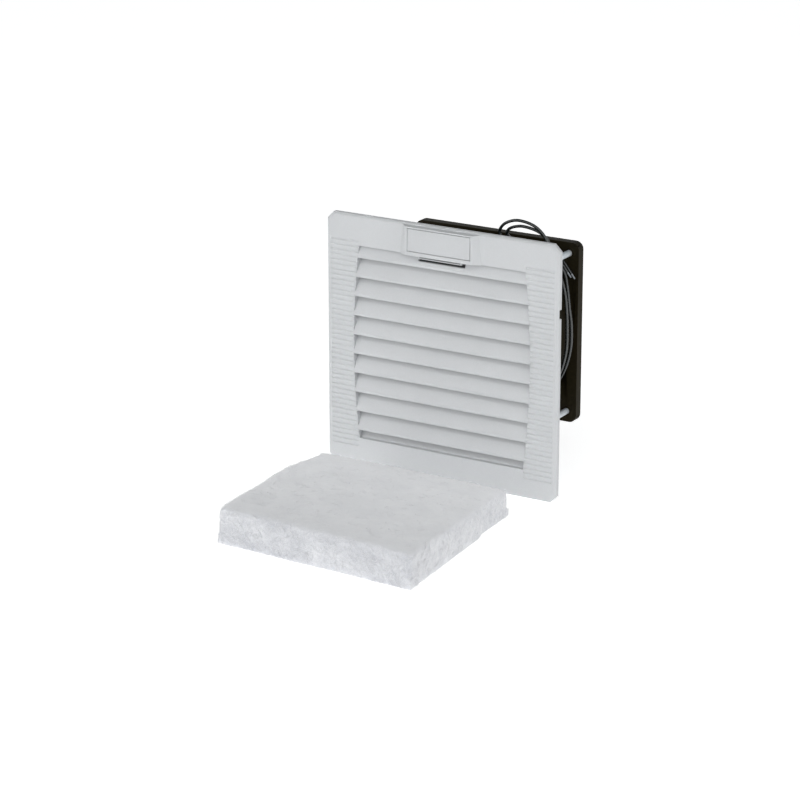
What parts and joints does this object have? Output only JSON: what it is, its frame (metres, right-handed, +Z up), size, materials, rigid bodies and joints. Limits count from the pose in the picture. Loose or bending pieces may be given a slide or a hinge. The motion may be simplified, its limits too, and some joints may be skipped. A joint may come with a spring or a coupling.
{
  "type": "cabinet filter fan",
  "caption": "Square louvred cover hinged on a base frame for a cabinet door, with a filter mat and a black axial fan on rods behind it, its leads wound round the fan body.",
  "frame": {"origin": "centre of the cover on the door plane, where the foam seal meets the cabinet door", "axes": "+X to the right seen from outside, +Y into the cabinet along the fan's axis, +Z up"},
  "size_m": [0.166, 0.2548, 0.166],
  "materials": {
    "cover_plastic": "moulded ABS, fine satin",
    "latch_plastic": "moulded ABS, satin",
    "pin_steel": "bright steel",
    "spring_steel": "spring steel",
    "base_plastic": "moulded ABS",
    "foam": "closed-cell foam",
    "filter_wool": "bonded polyester wool",
    "cast_black": "die-cast, painted black",
    "zinc": "zinc plated",
    "guard_wire": "bright plated wire",
    "blade_plastic": "glass filled nylon",
    "rotor_steel": "drawn steel",
    "bronze": "sintered bronze",
    "lamination": "electrical sheet",
    "copper": "enamelled copper",
    "bush_rubber": "black rubber",
    "lead_pvc": "black PVC",
    "tinned_copper": "tinned strands"
  },
  "bodies": {
    "housing": {"base_frame": "base_plastic", "mat_grid": "base_plastic", "door_gasket": "foam", "hinge_pins": "pin_steel", "fan_housing": "cast_black", "fan_screws": "zinc", "fan_washers": "zinc", "fan_nuts": "zinc", "finger_guard": "guard_wire", "front_bearing": "bronze", "rear_bearing": "bronze", "bearing_tube": "rotor_steel", "stator_core": "lamination", "stator_windings": "copper", "lead_grommet": "bush_rubber", "lead_a": "lead_pvc", "lead_b": "lead_pvc", "lead_ends": "tinned_copper"},
    "cover": {"grille_cover": "cover_plastic", "latch_pin": "pin_steel", "latch_spring": "spring_steel"},
    "latch": {"release_latch": "latch_plastic"},
    "rotor": {"impeller": "blade_plastic", "rotor_cup": "rotor_steel", "rotor_ring": "rotor_steel", "shaft": "pin_steel", "shaft_clip": "spring_steel"},
    "mat": {"filter_mat": "filter_wool"}
  },
  "joints": [
    {"name": "cover_open", "type": "hinge", "parent": "housing", "child": "cover", "pos_m": [0, -0.0042, -0.077], "axis": [1, 0, 0], "range_deg": [0, 45]},
    {"name": "latch_release", "type": "hinge", "parent": "cover", "child": "latch", "pos_m": [0, -0.0096, 0.07295], "axis": [-1, 0, 0], "range_deg": [0, 5], "stiffness_Nm_per_rad": 0.05, "springref_deg": -2.86, "deforming": ["latch_spring"]},
    {"name": "fan_spin", "type": "hinge", "parent": "housing", "child": "rotor", "pos_m": [0, 0.0495, 0.005], "axis": [0, 1, 0], "continuous": true},
    {"name": "mat_pull", "type": "slide", "parent": "housing", "child": "mat", "axis": [0, -1, 0], "range_m": [0, 0.1]}
  ]
}
